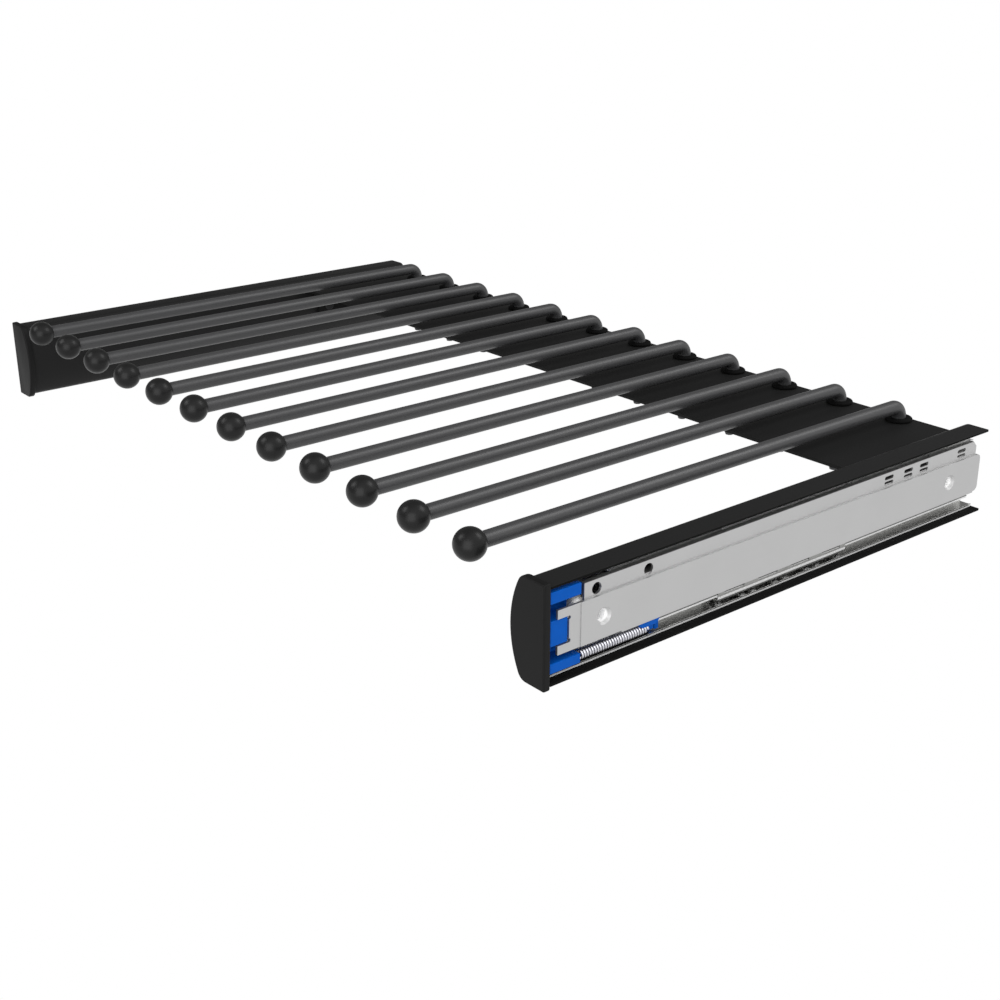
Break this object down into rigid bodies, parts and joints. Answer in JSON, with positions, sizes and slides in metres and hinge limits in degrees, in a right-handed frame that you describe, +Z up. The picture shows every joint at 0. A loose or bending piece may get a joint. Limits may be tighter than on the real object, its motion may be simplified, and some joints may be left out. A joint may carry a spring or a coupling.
{
  "type": "pull out trouser rack",
  "caption": "Pull-out trouser rack for a wardrobe: rods with ball ends point forward from a rear cross panel between two side rails on soft-close ball-bearing runners.",
  "frame": {"origin": "middle of the underside of the closed rack's box, between the two wardrobe walls", "axes": "+X to the right along the rods' row, -Y to the front, the way the rack pulls out, +Z up"},
  "size_m": [0.564, 0.3314, 0.0614],
  "materials": {
    "rail_black": "fine satin black powder coat",
    "cap_black": "moulded black nylon, fine texture",
    "panel_black": "matt black powder coat",
    "rod_grey": "satin dark grey lacquer",
    "ball_black": "smooth black plastic with a soft shine",
    "collar_black": "matt black plastic",
    "fastener_black": "black oxide",
    "bracket_black": "matt black powder coat",
    "runner_steel": "zinc-plated sheet steel, satin",
    "ball_steel": "polished bearing balls",
    "screw_steel": "zinc-plated screws",
    "spring_steel": "drawn spring wire",
    "soft_close_blue": "moulded blue acetal",
    "damper_black": "dark moulded plastic"
  },
  "bodies": {
    "wall_members": {"cabinet_member_left": "runner_steel", "cabinet_member_right": "runner_steel"},
    "rack": {"rail_left": "rail_black", "rail_right": "rail_black", "end_cap_left": "cap_black", "end_cap_right": "cap_black", "cross_panel": "panel_black", "rod_1": "rod_grey", "rod_2": "rod_grey", "rod_3": "rod_grey", "rod_4": "rod_grey", "rod_5": "rod_grey", "rod_6": "rod_grey", "rod_7": "rod_grey", "rod_8": "rod_grey", "rod_9": "rod_grey", "rod_10": "rod_grey", "rod_11": "rod_grey", "rod_12": "rod_grey", "ball_1": "ball_black", "ball_2": "ball_black", "ball_3": "ball_black", "ball_4": "ball_black", "ball_5": "ball_black", "ball_6": "ball_black", "ball_7": "ball_black", "ball_8": "ball_black", "ball_9": "ball_black", "ball_10": "ball_black", "ball_11": "ball_black", "ball_12": "ball_black", "rod_collars": "collar_black", "stud_nuts": "fastener_black", "bracket_screws": "fastener_black", "panel_bracket_left": "bracket_black", "panel_bracket_right": "bracket_black", "rack_member_left": "runner_steel", "rack_member_right": "runner_steel", "rack_member_screws": "screw_steel", "soft_close_housing_left": "soft_close_blue", "soft_close_housing_right": "soft_close_blue", "damper_left": "damper_black", "damper_right": "damper_black", "closing_spring_left": "spring_steel", "closing_spring_right": "spring_steel"},
    "middle_members": {"middle_member_left": "runner_steel", "middle_member_right": "runner_steel"},
    "outer_cages": {"outer_cage_left": "runner_steel", "outer_cage_right": "runner_steel", "outer_balls": "ball_steel"},
    "inner_cages": {"inner_cage_left": "runner_steel", "inner_cage_right": "runner_steel", "inner_balls": "ball_steel"},
    "latch_left": {"latch_left": "soft_close_blue", "damper_piston_left": "ball_steel"},
    "latch_right": {"latch_right": "soft_close_blue", "damper_piston_right": "ball_steel"}
  },
  "joints": [
    {"name": "rack_slide", "type": "slide", "parent": "wall_members", "child": "rack", "axis": [0, -1, 0], "range_m": [0, 0.28]},
    {"name": "middle_slide", "type": "slide", "parent": "wall_members", "child": "middle_members", "axis": [0, -1, 0], "range_m": [0, 0.14]},
    {"name": "outer_cage_slide", "type": "slide", "parent": "wall_members", "child": "outer_cages", "axis": [0, -1, 0], "range_m": [0, 0.21]},
    {"name": "inner_cage_slide", "type": "slide", "parent": "wall_members", "child": "inner_cages", "axis": [0, -1, 0], "range_m": [0, 0.07]},
    {"name": "latch_left_slide", "type": "slide", "parent": "rack", "child": "latch_left", "axis": [0, 1, 0], "range_m": [0, 0.04], "stiffness_N_per_m": 150, "springref_m": -0.02, "deforming": ["closing_spring_left"]},
    {"name": "latch_right_slide", "type": "slide", "parent": "rack", "child": "latch_right", "axis": [0, 1, 0], "range_m": [0, 0.04], "stiffness_N_per_m": 150, "springref_m": -0.02, "deforming": ["closing_spring_right"]}
  ],
  "couplings": [
    {"joint": "middle_slide", "follows": "rack_slide", "ratio": 0.5},
    {"joint": "outer_cage_slide", "follows": "rack_slide", "ratio": 0.75},
    {"joint": "inner_cage_slide", "follows": "rack_slide", "ratio": 0.25}
  ]
}
